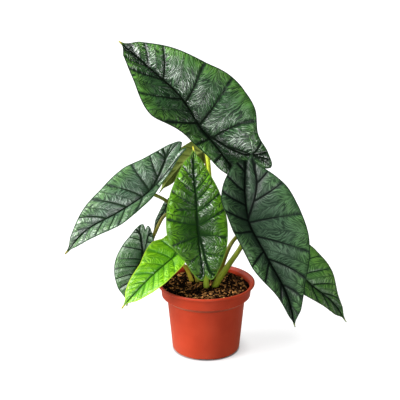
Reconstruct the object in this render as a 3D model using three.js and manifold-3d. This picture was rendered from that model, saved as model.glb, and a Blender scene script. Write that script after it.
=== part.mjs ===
// Potted alocasia: nine shield-shaped leaves on their stalks, growing from a corm in the
// soil of a round plastic nursery pot. Millimetres, +Z up. The origin is the centre of the
// pot's underside, on the flat pad that the pot rests on. The plant's face looks along -Y.
import * as THREE from 'three';
import { mergeVertices } from 'three/addons/utils/BufferGeometryUtils.js';
import Module from 'manifold-3d';

const wasm = await Module();
wasm.setup();

// Shared
const GAP = 0.3; // clearance between neighbouring pieces

// Pot: a 12 cm nursery pot
const POT_HEIGHT = 88.5;
const RIM_RADIUS = 60;
const RIM_HEIGHT = 3;
const RIM_WIDTH = 3.2;
const RIM_ROUND = 0.8;
const COLLAR_TOP_RADIUS = 55.8;
const COLLAR_LOW_RADIUS = 54.8;
const COLLAR_LOW_Z = 72;
const CREASE_RADIUS = 48;
const CREASE_Z = 66.5;
const BASE_RADIUS = 42;
const BASE_ROUND = 4;
const WALL = 1.6;
const FOOT_HEIGHT = 2;
const FOOT_WIDTH = 5;
const FLOOR_Z = 4;
const PAD_RADIUS = 9;
const NOTCHES = 4; // in the foot ring, the first one at the front
const NOTCH_WIDTH = 17;
const NOTCH_HEIGHT = 1.8;
const NOTCH_OVERRUN = 1; // how far a notch is cut past the ring's inner side
const DRAINS = 6;
const DRAIN_RADIUS = 4;
const DRAIN_RING = 26;
const DRAIN_SIDES = 12;
const SIDES = 40; // round the pot and the soil, so that their facets face each other

// Soil
const SOIL_Z = 83;
const SOIL_RINGS = 5;
const SOIL_EDGE_DROP = 2;
const SOIL_EDGE_POWER = 6; // how late the top bends down to its edge
const SOIL_EDGE_GAP = 0.8; // between the top's edge and the pot
const SOIL_LUMPS = [
  { length: 21, height: 0.66, turn: 0.5 },
  { length: 9, height: 0.44, turn: 1.7 },
];

// Corm: the main tuber and its two offsets, buried below the surface
const TUBERS = [
  { at: [2, 2, 60], radius: 14, height: 13 },
  { at: [-11, 13, 63], radius: 10, height: 10 },
  { at: [3, 25, 62], radius: 13, height: 11 },
];
const TUBER_SIDES = 10;
const TUBER_RINGS = 7;

// Stalks
const STALK_SIDES = 8;
const STALK_STEPS = 12;

// Blades
const BLADE_THICKNESS = 0.9;
const RIB_THICKNESS = 1.4; // extra depth of the midrib below the blade
const RIB_WIDTH = 2.6;
const RIB_START = 0.25; // share of the rows along which the midrib thickens from the tip
const JUNCTION = 0.62; // share of the rows that lie between the tip and the stalk
const VEIN_SWEEP = 1.3; // how late a side vein bends towards the tip
const QUILT = 0.9; // height of the blade's swelling between two side veins
const PUFF = 0.1; // swelling of each half blade, as a share of its width
const MARGIN_ROWS = [0, 0.075, 0.28, 0.465, 0.63, 0.71, 0.79, 0.875, 1, 1.1];
const STATIONS = [1, 0.95, 0.7, 0.4, 0.1, -0.2, -0.5, -0.8, -1, -0.8]; // tip 1, junction 0
const SPINE_STATIONS = [-1, 0, 0.35, 0.7, 1];
const TIP_HALF_WIDTH = 0.8;
const ACUMEN = 0.24; // half width where the drip tip starts, as a share of the next one
const COLUMN_SPREAD = 1.15; // facets get wider from the midrib to the margin
const NORMAL_STEP = 0.004; // share of the grid over which a blade's slope is taken

// Side veins, as the rows at which they leave the midrib and reach the margin
const SIDE_VEINS = [
  [0.1, 0.08], [0.2, 0.17], [0.3, 0.26], [0.41, 0.37], [0.52, 0.49], [0.61, 0.6], [0.68, 0.74],
  [0.84, 0.88], [1, 1],
];

// Each leaf: where its stalk meets the blade, the tip, the middle of the lobe ends, the way
// that its upper face looks, how far the midrib arches up and bends sideways, how far the
// halves fold up, the half widths on both sides of the midrib (seen from above with the tip
// up) at the stations from the lobe ends to 0.7, and the stalk's route from the corm with its
// radii. "notch" is how much of the lobes is joined, "wave" is the height of the margin's
// waves and "grid" the number of facets across and along.
const LEAVES = {
  top: {
    joint: [-2, 42, 265], tip: [-106, 62, 374], back: [69, 29, 216], face: [0.05, -1, 0.65],
    arch: 11, sweep: [6, 2], fold: [29, 16], notch: 0.75, wave: 1.5, grid: [10, 32],
    left: [16, 30, 33, 26, 27, 56, 31], right: [13, 28, 40, 63, 70, 51, 35],
    stalk: [[5, 26, 62], [6, 29, 84], [5, 32, 143], [3, 38, 224]], foot: 4.5, neck: 2.6,
  },
  left: {
    joint: [-67, -5, 206], tip: [-168, -32, 135], back: [-27, 22, 255], face: [-0.36, -1, 0.96],
    arch: 7, sweep: [-2, 5], fold: [22, 22], notch: 0.88, wave: 1, grid: [10, 24],
    left: [8, 7, 9, 9, 14, 24, 18], right: [4, 16, 25, 33, 42, 34, 18],
    stalk: [[-8, 9, 62], [-10.5, 10, 84], [-20, 8, 126], [-45, 2, 188]], foot: 3.6, neck: 2.1,
  },
  center: {
    joint: [-10, -28, 165], tip: [-16, -6, 261], back: [0, -34, 103], face: [0.52, -1, 0.28],
    arch: 4, sweep: [-2, -3], fold: [5, 11], notch: 0.9, wave: 0.8, grid: [10, 24],
    left: [5, 18, 27, 40, 42, 37, 20], right: [6, 19, 29, 35, 37, 31, 18],
    stalk: [[1, -5, 62], [0.5, -8, 84], [-1, -12, 112], [-7, -14, 142]], foot: 4.5, neck: 2.4,
  },
  right: {
    joint: [49, -38, 181], tip: [106, -58, 53], back: [48, -12, 251], face: [0.25, -1, 0.34],
    arch: 7, sweep: [-1, -5], fold: [25, 14], notch: 0.93, wave: 1.2, grid: [10, 32],
    left: [5, 14, 36, 54, 62, 50, 24], right: [15, 33, 37, 29, 23, 23, 12],
    stalk: [[8, -1, 62], [11.5, -4.5, 84], [26, -10, 111], [43, -17, 142]], foot: 5, neck: 2.7,
  },
  far_right: {
    joint: [105, 20, 103], tip: [174, -8, 37], back: [80, 40, 134], face: [0.07, -0.7, 1.04],
    arch: 6, sweep: [3, -2], fold: [17, 21], notch: 0.85, wave: 0.8, grid: [8, 24],
    left: [11, 20, 27, 32, 37, 32, 12], right: [11, 19, 26, 27, 25, 23, 16],
    stalk: [[9, 23, 62], [15, 21, 84], [34, 21, 134], [56, 40, 141], [78, 46, 122]],
    foot: 3.6, neck: 2,
  },
  low_left: {
    joint: [-78, 8, 116], tip: [-97, -18, 62], back: [-74, 19, 154], face: [-0.55, -1, 0.43],
    arch: 5, sweep: [1, 0], fold: [25, 12], notch: 0.85, wave: 0.8, grid: [8, 24],
    left: [4, 14, 20, 21, 21, 20, 17], right: [4, 14, 21, 28, 32, 27, 17],
    stalk: [[-9, 17, 62], [-8, 20, 84], [-26, 22, 150], [-48, 20, 168], [-64, 18, 142]],
    foot: 3, neck: 2,
  },
  young: {
    joint: [-39, -20, 127], tip: [-100, -58, 76], back: [-23, -10, 144], face: [-0.28, -0.8, 1],
    arch: 6, sweep: [-1, -1], fold: [18, 12], notch: 0.8, wave: 0.8, grid: [8, 24],
    left: [9, 14, 18, 20, 23, 26, 16], right: [9, 18, 25, 27, 33, 22, 15],
    stalk: [[-14, 14, 62], [-18.5, 13, 84], [-27, 1, 108]], foot: 3.6, neck: 2.1,
  },
  back: {
    joint: [-3, 60, 238], tip: [-59, 46, 187], back: [22, 66, 262], face: [0.24, 0.9, 0.58],
    arch: 7, sweep: [-3, -2], fold: [12, 13], notch: 0.8, wave: 0.6, grid: [6, 16],
    left: [6, 11, 16, 19, 20, 17, 10], right: [6, 11, 16, 19, 20, 17, 10],
    stalk: [[0, 32, 62], [-1, 34, 84], [3, 40, 140], [0, 49, 216]], foot: 3, neck: 1.8,
  },
  sliver: {
    joint: [-50, 42, 168], tip: [-67, 34, 137], back: [-45, 45, 180], face: [-0.88, -0.8, 0.4],
    arch: 2, sweep: [-1, -1], fold: [12, 12], notch: 0.8, wave: 0.3, grid: [6, 16],
    left: [3, 4, 6, 7, 7, 6, 4], right: [3, 4, 6, 7, 7, 6, 4],
    stalk: [[-5, 27, 62], [-10, 30, 84], [-28, 44, 143]], foot: 2.6, neck: 1.4,
  },
};

// Colours: roughness and metalness are the surface's own
const POT_COLOUR = new THREE.MeshStandardMaterial({ color: 0xc8644c, roughness: 0.45, metalness: 0 });
const SOIL_COLOUR = new THREE.MeshStandardMaterial({ color: 0x2b1d14, roughness: 0.95, metalness: 0 });
const CORM_COLOUR = new THREE.MeshStandardMaterial({ color: 0x6b4a2e, roughness: 0.85, metalness: 0 });
const BLADE_COLOURS = {
  top: 0x3c6b3a, left: 0x5a7a5a, center: 0x4f8a2c, right: 0x3f5a40, far_right: 0x466a3c,
  low_left: 0x3d5a3c, young: 0x83b82e, back: 0x8f9a55, sliver: 0x33482f,
};
const STALK_COLOURS = {
  top: 0xa9b52c, left: 0x6f7a2a, center: 0x7d9a34, right: 0x7f8436, far_right: 0x8f8436,
  low_left: 0x6f6a26, young: 0xa8902e, back: 0x6a5522, sliver: 0x5f6a2a,
};

const plant = new THREE.Group();

// Joins, cuts and gives back closed meshes
function solidOf(geometry) {
  const bare = geometry.clone();
  bare.deleteAttribute('normal');
  bare.deleteAttribute('uv');
  const merged = mergeVertices(bare, 1e-4);
  const vertProperties = merged.attributes.position.array;
  const triVerts = Uint32Array.from(merged.index.array);
  return new wasm.Manifold(new wasm.Mesh({ numProp: 3, vertProperties, triVerts }));
}

function geometryOf(solid) {
  const mesh = solid.getMesh();
  const geometry = new THREE.BufferGeometry();
  geometry.setAttribute('position', new THREE.BufferAttribute(mesh.vertProperties, 3));
  geometry.setIndex(new THREE.BufferAttribute(mesh.triVerts, 1));
  geometry.computeVertexNormals();
  return geometry;
}

function addPiece(name, geometry, material) {
  const piece = new THREE.Mesh(geometry, material);
  piece.name = name;
  plant.add(piece);
}

function turned(profile, sides) {
  const points = profile.map(([radius, z]) => new THREE.Vector2(radius, z));
  return new THREE.LatheGeometry(points, sides).rotateX(Math.PI / 2);
}

function quarterArc(radius, z, size, from, steps) {
  const points = [];
  for (let i = 0; i <= steps; i += 1) {
    const angle = from + (i / steps) * (Math.PI / 2);
    points.push([radius + size * Math.cos(angle), z + size * Math.sin(angle)]);
  }
  return points;
}

// Pot: thin wall, rolled rim, collar that steps in at a crease, a foot ring cut by notches
function pot() {
  const footInner = BASE_RADIUS - BASE_ROUND - FOOT_WIDTH;
  const rimFloor = POT_HEIGHT - RIM_HEIGHT;
  const body = solidOf(turned([
    [0, 0],
    [PAD_RADIUS, 0],
    [PAD_RADIUS, FOOT_HEIGHT],
    [footInner, FOOT_HEIGHT],
    [footInner, 0],
    ...quarterArc(BASE_RADIUS - BASE_ROUND, BASE_ROUND, BASE_ROUND, -Math.PI / 2, 3),
    [CREASE_RADIUS, CREASE_Z],
    [COLLAR_LOW_RADIUS, COLLAR_LOW_Z],
    [COLLAR_TOP_RADIUS, rimFloor],
    [RIM_RADIUS - RIM_ROUND, rimFloor],
    [RIM_RADIUS, rimFloor + RIM_ROUND],
    [RIM_RADIUS, POT_HEIGHT - RIM_ROUND],
    [RIM_RADIUS - RIM_ROUND, POT_HEIGHT],
    [RIM_RADIUS - RIM_WIDTH + RIM_ROUND, POT_HEIGHT],
    [RIM_RADIUS - RIM_WIDTH, POT_HEIGHT - RIM_ROUND],
    [COLLAR_TOP_RADIUS - WALL, rimFloor],
    [COLLAR_LOW_RADIUS - WALL, COLLAR_LOW_Z + WALL],
    [CREASE_RADIUS - WALL, CREASE_Z + WALL],
    [BASE_RADIUS - WALL, FLOOR_Z],
    [0, FLOOR_Z],
  ], SIDES));
  let cut = body;
  for (let i = 0; i < NOTCHES; i += 1) {
    const notch = new THREE.BoxGeometry(2 * BASE_RADIUS, NOTCH_WIDTH, 2 * NOTCH_HEIGHT);
    notch.translate(footInner - NOTCH_OVERRUN + BASE_RADIUS, 0, 0);
    notch.rotateZ(-Math.PI / 2 + (i / NOTCHES) * 2 * Math.PI);
    cut = cut.subtract(solidOf(notch));
  }
  for (let i = 0; i < DRAINS; i += 1) {
    const drain = new THREE.CylinderGeometry(DRAIN_RADIUS, DRAIN_RADIUS, 4 * FLOOR_Z, DRAIN_SIDES);
    drain.rotateX(Math.PI / 2);
    drain.translate(DRAIN_RING, 0, 0);
    drain.rotateZ(((i + 0.5) / DRAINS) * 2 * Math.PI);
    cut = cut.subtract(solidOf(drain));
  }
  return cut;
}

// Corm: rounded tubers grown together, "extra" larger all round
function corm(extra) {
  let whole = null;
  for (const { at, radius, height } of TUBERS) {
    const ball = new THREE.SphereGeometry(1, TUBER_SIDES, TUBER_RINGS).rotateX(Math.PI / 2);
    ball.scale(radius + extra, radius + extra, height + extra);
    ball.translate(...at);
    const tuber = solidOf(ball);
    whole = whole ? whole.add(tuber) : tuber;
  }
  return whole;
}

// Soil: fills the pot up to just below the rim, with a rough top
function lumps(x, y) {
  let rise = 0;
  for (const { length, height, turn } of SOIL_LUMPS) {
    const along = x * Math.cos(turn) + y * Math.sin(turn);
    const across = y * Math.cos(turn) - x * Math.sin(turn);
    const wave = (2 * Math.PI) / length;
    rise += height * Math.sin(wave * along) * Math.cos(wave * across);
  }
  return rise;
}

function soil() {
  const collarShare = (SOIL_Z - COLLAR_LOW_Z) / (POT_HEIGHT - RIM_HEIGHT - COLLAR_LOW_Z);
  const collar = THREE.MathUtils.lerp(COLLAR_LOW_RADIUS, COLLAR_TOP_RADIUS, collarShare);
  const edge = collar - WALL - SOIL_EDGE_GAP;
  const profile = [
    [0, FLOOR_Z + GAP],
    [BASE_RADIUS - WALL - GAP, FLOOR_Z + GAP],
    [CREASE_RADIUS - WALL - GAP, CREASE_Z + WALL],
    [COLLAR_LOW_RADIUS - WALL - GAP, COLLAR_LOW_Z + WALL + GAP],
  ];
  for (let i = SOIL_RINGS; i >= 0; i -= 1) {
    const share = i / SOIL_RINGS;
    profile.push([edge * share, SOIL_Z - SOIL_EDGE_DROP * share ** SOIL_EDGE_POWER]);
  }
  const geometry = turned(profile, SIDES);
  const position = geometry.attributes.position;
  for (let i = 0; i < position.count; i += 1) {
    const z = position.getZ(i);
    if (z > (COLLAR_LOW_Z + SOIL_Z) / 2) {
      position.setZ(i, z + lumps(position.getX(i), position.getY(i)));
    }
  }
  return solidOf(geometry);
}

// A smooth curve of values or vectors through knots
function through(knots, values, x) {
  let i = 0;
  while (i < knots.length - 2 && x > knots[i + 1]) i += 1;
  const slope = (k) => {
    const a = Math.max(k - 1, 0);
    const b = Math.min(k + 1, knots.length - 1);
    return (values[b] - values[a]) / (knots[b] - knots[a]);
  };
  const span = knots[i + 1] - knots[i];
  const t = THREE.MathUtils.clamp((x - knots[i]) / span, 0, 1);
  return values[i] * (2 * t ** 3 - 3 * t ** 2 + 1) + slope(i) * span * (t ** 3 - 2 * t ** 2 + t)
    + values[i + 1] * (3 * t ** 2 - 2 * t ** 3) + slope(i + 1) * span * (t ** 3 - t ** 2);
}

// Blade: the middle surface. u runs -1..1 from the left margin over the midrib to the right
// margin, v runs 0..1 from the tip over the junction to the lobe ends. A row of constant v is
// a side vein: it leaves the midrib and bends towards the tip.
function bladeFrame(leaf) {
  const joint = new THREE.Vector3(...leaf.joint);
  const tip = new THREE.Vector3(...leaf.tip);
  const axis = tip.clone().sub(joint).normalize();
  const face = new THREE.Vector3(...leaf.face);
  face.addScaledVector(axis, -face.dot(axis)).normalize();
  const side = axis.clone().cross(face);
  const bends = leaf.sweep.map((sweep, i) => {
    const station = SPINE_STATIONS[i + 2];
    const rise = leaf.arch * 4 * station * (1 - station);
    return joint.clone().lerp(tip, station).addScaledVector(face, rise).addScaledVector(side, sweep);
  });
  return { face, side, spine: [new THREE.Vector3(...leaf.back), joint, ...bends, tip] };
}

function spineAt({ spine }, s) {
  const along = (key) => through(SPINE_STATIONS, spine.map((point) => point[key]), s);
  return new THREE.Vector3(along('x'), along('y'), along('z'));
}

// 0 on a side vein and 1 midway between two of them
function between(out, v) {
  let below = 0;
  for (const [inner, outer] of SIDE_VEINS) {
    const row = THREE.MathUtils.lerp(inner, outer, out);
    if (v <= row) {
      return Math.sin((Math.PI * (v - below)) / (row - below)) ** 2;
    }
    below = row;
  }
  return 0;
}

function bladePoint(leaf, frame, u, v) {
  const out = Math.abs(u);
  const lobe = THREE.MathUtils.clamp((v - JUNCTION) / (1 - JUNCTION), 0, 1);
  const start = lobe > 0 ? -lobe * leaf.notch : 1 - v / JUNCTION;
  const end = through(MARGIN_ROWS, STATIONS, v);
  const share = (1 - lobe) * out ** VEIN_SWEEP + lobe * Math.sin((Math.PI / 2) * out);
  const [lobeEnd, nextToEnd, ...widths] = u < 0 ? leaf.left : leaf.right;
  const last = widths[widths.length - 1];
  const margin = [TIP_HALF_WIDTH, ACUMEN * last, ...widths.reverse(), nextToEnd, lobeEnd];
  const width = through(MARGIN_ROWS, [...margin, 2 * lobeEnd - nextToEnd], v);
  const fold = THREE.MathUtils.degToRad(u < 0 ? leaf.fold[0] : leaf.fold[1]);
  const quilt = QUILT * between(out, v) * Math.sqrt(4 * out * (1 - out));
  const swell = 2 * PUFF * width * out * (1 - out) + quilt;
  const ripple = leaf.wave * out ** 2 * Math.sin(2 * Math.PI * (3 * v + 0.15 * Math.sign(u)));
  const across = width * out * Math.cos(fold) - swell * Math.sin(fold);
  const lift = width * out * Math.sin(fold) + swell * Math.cos(fold) + ripple;
  const point = spineAt(frame, start + (end - start) * share);
  return point.addScaledVector(frame.side, Math.sign(u) * across).addScaledVector(frame.face, lift);
}

function bladeNormal(leaf, frame, u, v) {
  const along = bladePoint(leaf, frame, u, Math.max(v - NORMAL_STEP, 0));
  along.sub(bladePoint(leaf, frame, u, Math.min(v + NORMAL_STEP, 1)));
  const across = bladePoint(leaf, frame, Math.min(u + NORMAL_STEP, 1), v);
  across.sub(bladePoint(leaf, frame, Math.max(u - NORMAL_STEP, -1), v));
  return across.cross(along).normalize();
}

// Two faces on the same grid, split alike, with a thicker midrib below, and a closed margin
function blade(leaf) {
  const frame = bladeFrame(leaf);
  const [columns, rows] = leaf.grid;
  const top = [];
  const bottom = [];
  for (let row = 0; row <= rows; row += 1) {
    for (let column = 0; column <= columns; column += 1) {
      const even = (2 * column) / columns - 1;
      const u = Math.sign(even) * Math.abs(even) ** COLUMN_SPREAD;
      const v = row / rows;
      const point = bladePoint(leaf, frame, u, v);
      const normal = bladeNormal(leaf, frame, u, v);
      const distance = Math.abs(u) * 2 * leaf.right[2];
      const grown = Math.min(1, v / RIB_START);
      const rib = RIB_THICKNESS * Math.exp(-((distance / RIB_WIDTH) ** 2)) * grown;
      top.push(...point.clone().addScaledVector(normal, BLADE_THICKNESS / 2));
      bottom.push(...point.clone().addScaledVector(normal, -BLADE_THICKNESS / 2 - rib));
    }
  }
  const count = top.length / 3;
  const at = (row, column) => row * (columns + 1) + column;
  const index = [];
  for (let row = 0; row < rows; row += 1) {
    for (let column = 0; column < columns; column += 1) {
      const [a, b] = [at(row, column), at(row, column + 1)];
      const [c, d] = [at(row + 1, column), at(row + 1, column + 1)];
      index.push(a, c, b, b, c, d);
      index.push(a + count, b + count, c + count, b + count, d + count, c + count);
    }
  }
  const wall = (a, b) => index.push(a, b, b + count, a, b + count, a + count);
  for (let column = 0; column < columns; column += 1) {
    wall(at(0, column), at(0, column + 1));
    wall(at(rows, column + 1), at(rows, column));
  }
  for (let row = 0; row < rows; row += 1) {
    wall(at(row + 1, 0), at(row, 0));
    wall(at(row, columns), at(row + 1, columns));
  }
  const geometry = new THREE.BufferGeometry();
  geometry.setAttribute('position', new THREE.Float32BufferAttribute([...top, ...bottom], 3));
  geometry.setIndex(index);
  geometry.computeVertexNormals();
  return geometry;
}

// Stalk: a tapering round petiole, thick at its sheathing foot, ending square under the blade
function stalk(leaf, extra) {
  const frame = bladeFrame(leaf);
  const joint = new THREE.Vector3(...leaf.joint);
  const below = bladeNormal(leaf, frame, 0, JUNCTION).negate();
  const underside = BLADE_THICKNESS / 2 + RIB_THICKNESS + GAP;
  const end = joint.clone().addScaledVector(below, underside);
  const approach = joint.clone().addScaledVector(below, underside + 4 * leaf.neck);
  const route = leaf.stalk.map((point) => new THREE.Vector3(...point));
  const curve = new THREE.CatmullRomCurve3([...route, approach, end]);
  const frames = curve.computeFrenetFrames(STALK_STEPS);
  const geometry = new THREE.CylinderGeometry(1, 1, 1, STALK_SIDES, STALK_STEPS);
  const position = geometry.attributes.position;
  const vertex = new THREE.Vector3();
  for (let i = 0; i < position.count; i += 1) {
    vertex.fromBufferAttribute(position, i);
    const step = Math.round((vertex.y + 0.5) * STALK_STEPS);
    const share = step / STALK_STEPS;
    const radius = leaf.neck + (leaf.foot - leaf.neck) * (1 - share) ** 2 + extra;
    const place = curve.getPointAt(share);
    place.addScaledVector(frames.binormals[step], vertex.x * radius);
    place.addScaledVector(frames.normals[step], vertex.z * radius);
    position.setXYZ(i, ...place);
  }
  return solidOf(geometry);
}

const buriedCorm = corm(0);
const cormHollow = corm(GAP);

addPiece('pot', geometryOf(pot()), POT_COLOUR);
addPiece('corm', geometryOf(buriedCorm), CORM_COLOUR);

let filled = soil().subtract(cormHollow);
for (const leaf of Object.values(LEAVES)) {
  filled = filled.subtract(stalk(leaf, GAP));
}
addPiece('soil', geometryOf(filled), SOIL_COLOUR);

for (const [name, leaf] of Object.entries(LEAVES)) {
  const bladeColour = new THREE.MeshStandardMaterial({
    color: BLADE_COLOURS[name], roughness: 0.3, metalness: 0,
  });
  const stalkColour = new THREE.MeshStandardMaterial({
    color: STALK_COLOURS[name], roughness: 0.45, metalness: 0,
  });
  addPiece(`blade_${name}`, blade(leaf), bladeColour);
  addPiece(`stalk_${name}`, geometryOf(stalk(leaf, 0).subtract(cormHollow)), stalkColour);
}

export default plant;
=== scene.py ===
import math
import random

import bmesh
import bpy
from mathutils import Matrix, Vector
from mathutils.kdtree import KDTree


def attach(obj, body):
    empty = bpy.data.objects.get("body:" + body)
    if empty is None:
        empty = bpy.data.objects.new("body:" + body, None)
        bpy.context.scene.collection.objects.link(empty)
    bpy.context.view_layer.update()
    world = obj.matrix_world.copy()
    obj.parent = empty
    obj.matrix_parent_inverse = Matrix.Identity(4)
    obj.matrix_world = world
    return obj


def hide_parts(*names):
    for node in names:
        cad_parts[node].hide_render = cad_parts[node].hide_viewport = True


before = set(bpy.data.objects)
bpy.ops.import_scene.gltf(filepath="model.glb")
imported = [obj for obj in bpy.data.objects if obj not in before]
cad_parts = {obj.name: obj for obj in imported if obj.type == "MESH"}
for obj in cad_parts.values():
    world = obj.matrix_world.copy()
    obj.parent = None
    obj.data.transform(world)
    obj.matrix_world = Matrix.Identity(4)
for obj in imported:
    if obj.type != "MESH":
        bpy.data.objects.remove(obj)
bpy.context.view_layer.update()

# Pot: a 12 cm nursery pot, injection moulded in one piece from terracotta-coloured plastic.
# It has a rolled rim, a collar that steps in at a crease, and a foot ring cut by four water
# notches, with six drain holes in its floor.
MM = 0.001
POT_STEPS = 160
POT_PROFILE = [
    (0, 0), (9, 0), (9, 2), (33, 2), (33, 0), (38, 0), (39.53, 0.3), (40.83, 1.17), (41.7, 2.47),
    (42, 4), (48, 66.5), (54.8, 72), (55.8, 85.5), (59.2, 85.5), (60, 86.3), (60, 87.7),
    (59.2, 88.5), (57.6, 88.5), (56.8, 87.7), (54.2, 85.5), (53.2, 73.6), (46.4, 68.1),
    (40.4, 4), (0, 4),
]
FOOT_INNER = 32
NOTCH_SIZE = (50, 17, 3.6)
DRAIN_RADIUS = 4
DRAIN_RING = 26
EDGE_ROUND = 0.6
TERRACOTTA = [(0.34, 0.03, 0.009, 1), (0.38, 0.037, 0.012, 1)]
# Painted shade: a dark colour laid in the crease under the collar.
CREASE_SHADE = (0.1, 0.008, 0.002, 1)
CREASE_SHADE_SHARE = 0.45
CREASE_SHADE_HEIGHTS = (65.5, 67, 70, 71.5)
DUST = (0.3, 0.07, 0.03, 1)
DUST_HEIGHT = 20


def new_piece(name, mesh, material, sharp=40):
    """A finished bmesh in metres as an object that rides with the plant."""
    data = bpy.data.meshes.new(name)
    mesh.to_mesh(data)
    mesh.free()
    data.shade_smooth()
    data.set_sharp_from_angle(angle=math.radians(sharp))
    data.materials.append(material)
    piece = bpy.data.objects.new(name, data)
    bpy.context.scene.collection.objects.link(piece)
    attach(piece, "root")
    return piece


def carve(piece, cutter_mesh):
    """Cuts a closed bmesh out of a piece for good."""
    data = bpy.data.meshes.new("cutter")
    cutter_mesh.to_mesh(data)
    cutter_mesh.free()
    cutter = bpy.data.objects.new("cutter", data)
    bpy.context.scene.collection.objects.link(cutter)
    cut = piece.modifiers.new("cut", "BOOLEAN")
    cut.operation = "DIFFERENCE"
    cut.object = cutter
    cut.solver = "EXACT"
    graph = bpy.context.evaluated_depsgraph_get()
    carved = bpy.data.meshes.new_from_object(piece.evaluated_get(graph))
    piece.modifiers.remove(cut)
    piece.data = carved
    bpy.data.objects.remove(cutter)


class Paint:
    """A material with its nodes laid one after the other."""

    def __init__(self, name, **constants):
        self.material = bpy.data.materials.new(name)
        self.material.use_nodes = True
        self.tree = self.material.node_tree
        self.shader = self.tree.nodes["Principled BSDF"]
        for socket, value in constants.items():
            self.shader.inputs[socket.replace("_", " ")].default_value = value
        self.place = self.tree.nodes.new("ShaderNodeTexCoord").outputs["Object"]

    def lay(self, kind, inputs, output=0, **settings):
        node = self.tree.nodes.new("ShaderNode" + kind)
        for key, value in settings.items():
            setattr(node, key, value)
        for key, value in inputs.items():
            if isinstance(value, bpy.types.NodeSocket):
                self.tree.links.new(value, node.inputs[key])
            else:
                node.inputs[key].default_value = value
        return node.outputs[output]

    def calc(self, kind, a, b=0.0):
        return self.lay("Math", {0: a, 1: b}, operation=kind)

    def times(self, a, b):
        return self.calc("MULTIPLY", a, b)

    def ramp(self, value, start, end, low=0.0, high=1.0):
        inputs = {0: value, 1: start, 2: end, 3: low, 4: high}
        return self.lay("MapRange", inputs, interpolation_type="SMOOTHSTEP")

    def blend(self, share, a, b):
        return self.lay("Mix", {0: share, 6: a, 7: b}, output=2, data_type="RGBA")

    def grain(self, size, detail=3.0, stretch=None):
        """Noise whose lumps are about as large as size, in millimetres."""
        place = self.place
        if stretch:
            place = self.lay("Mapping", {"Vector": place, "Scale": stretch})
        return self.lay("TexNoise", {"Vector": place, "Scale": 1 / (size * MM), "Detail": detail})

    def number(self, name):
        """A number that the mesh carries at each point."""
        return self.lay("Attribute", {}, output=2, attribute_name=name)

    def relief(self, height, depth, strength=1.0, under=None):
        """Bumps as deep as depth, in millimetres, on top of those below."""
        inputs = {"Height": height, "Distance": depth * MM, "Strength": strength}
        if under:
            inputs["Normal"] = under
        return self.lay("Bump", inputs)

    def finish(self, colour, roughness=None, normal=None):
        self.tree.links.new(colour, self.shader.inputs["Base Color"])
        if roughness:
            self.tree.links.new(roughness, self.shader.inputs["Roughness"])
        if normal:
            self.tree.links.new(normal, self.shader.inputs["Normal"])
        return self.material


def satin_terracotta():
    paint = Paint(
        "satin terracotta plastic", IOR=1.3, Sheen_Weight=0.3, Sheen_Roughness=0.4,
        Sheen_Tint=(1, 0.4, 0.24, 1),
    )
    cloud = paint.grain(26, detail=2.0)
    speck = paint.grain(0.9, detail=4.0)
    height = paint.lay("SeparateXYZ", {0: paint.place}, output=2)
    colour = paint.blend(paint.ramp(cloud, 0.3, 0.7), *TERRACOTTA)
    # Painted shade: the crease under the collar is darkened in a band of heights, where shade
    # falls.
    bottom, low, high, top = [level * MM for level in CREASE_SHADE_HEIGHTS]
    crease = paint.times(paint.ramp(height, bottom, low), paint.ramp(height, top, high))
    colour = paint.blend(paint.times(crease, CREASE_SHADE_SHARE), colour, CREASE_SHADE)
    dusty = paint.ramp(height, 0.0, DUST_HEIGHT * MM, 0.5, 0.0)
    colour = paint.blend(paint.times(dusty, paint.ramp(speck, 0.45, 0.7)), colour, DUST)
    scuff = paint.grain(3, detail=5.0, stretch=(1, 1, 0.12))
    roughness = paint.ramp(scuff, 0.3, 0.75, 0.36, 0.5)
    skin = paint.relief(speck, 0.05, strength=0.35)
    skin = paint.relief(scuff, 0.06, strength=0.3, under=skin)
    return paint.finish(colour, roughness, skin)


mesh = bmesh.new()
outline = [mesh.verts.new((radius, 0, height)) for radius, height in POT_PROFILE]
for inner, outer in zip(outline, outline[1:]):
    mesh.edges.new((inner, outer))
bmesh.ops.spin(
    mesh, geom=mesh.verts[:] + mesh.edges[:], axis=(0, 0, 1), cent=(0, 0, 0), dvec=(0, 0, 0),
    angle=2 * math.pi, steps=POT_STEPS, use_merge=True, use_duplicate=False,
)
bmesh.ops.remove_doubles(mesh, verts=mesh.verts, dist=0.001)
bmesh.ops.recalc_face_normals(mesh, faces=mesh.faces)
bmesh.ops.scale(mesh, vec=(MM, MM, MM), verts=mesh.verts)
pot = new_piece("nursery_pot", mesh, satin_terracotta())

cutters = bmesh.new()
for quarter in range(4):
    turn = Matrix.Rotation(math.radians(90 * quarter), 4, "Z")
    place = Matrix.Translation((FOOT_INNER * MM + NOTCH_SIZE[0] * MM / 2, 0, 0))
    size = Matrix.Diagonal([side * MM for side in NOTCH_SIZE] + [1])
    bmesh.ops.create_cube(cutters, size=1, matrix=turn @ place @ size)
for drain in range(6):
    turn = Matrix.Rotation(math.radians(60 * drain + 30), 4, "Z")
    place = Matrix.Translation((DRAIN_RING * MM, 0, 0))
    bmesh.ops.create_cone(
        cutters, cap_ends=True, segments=32, radius1=DRAIN_RADIUS * MM, radius2=DRAIN_RADIUS * MM,
        depth=16 * MM, matrix=turn @ place,
    )
carve(pot, cutters)
rounded = pot.modifiers.new("moulded edges", "BEVEL")
rounded.width = EDGE_ROUND * MM
rounded.segments = 3
rounded.limit_method = "ANGLE"
rounded.angle_limit = math.radians(22)
pot.data.shade_smooth()
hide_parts("pot")

# Corm: the brown tuber and its two offsets that the stalks grow from, buried in the soil.
# Its skin is dry, rough and ringed by old leaf scars.
CORM_BROWN = [(0.12, 0.06, 0.03, 1), (0.3, 0.17, 0.09, 1)]
CORM_FIBRE = (0.05, 0.026, 0.015, 1)


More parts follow.
